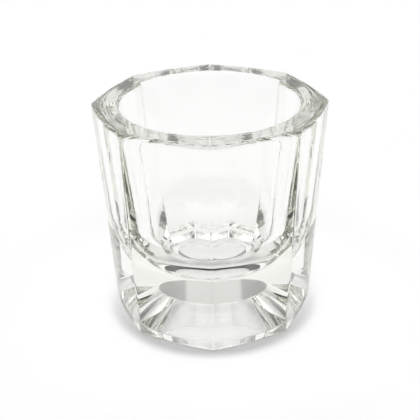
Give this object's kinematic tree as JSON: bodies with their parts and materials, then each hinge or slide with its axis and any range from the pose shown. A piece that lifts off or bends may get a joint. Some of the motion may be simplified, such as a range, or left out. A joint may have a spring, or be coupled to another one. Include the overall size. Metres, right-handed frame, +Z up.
{
  "type": "glass dappen dish",
  "caption": "Small octagonal pressed-glass cup with a round-bottomed well, for holding nail liquid or powder and wetting a brush.",
  "frame": {"origin": "centre of the foot, on the plane that the cup stands on", "axes": "+Z up the cup's axis to the open rim; +X and +Y each pass through a corner of the octagon"},
  "size_m": [0.033, 0.033, 0.032],
  "materials": {
    "glass": "clear fire-polished pressed glass"
  },
  "bodies": {
    "root": {"glass_dish": "glass"}
  },
  "joints": []
}
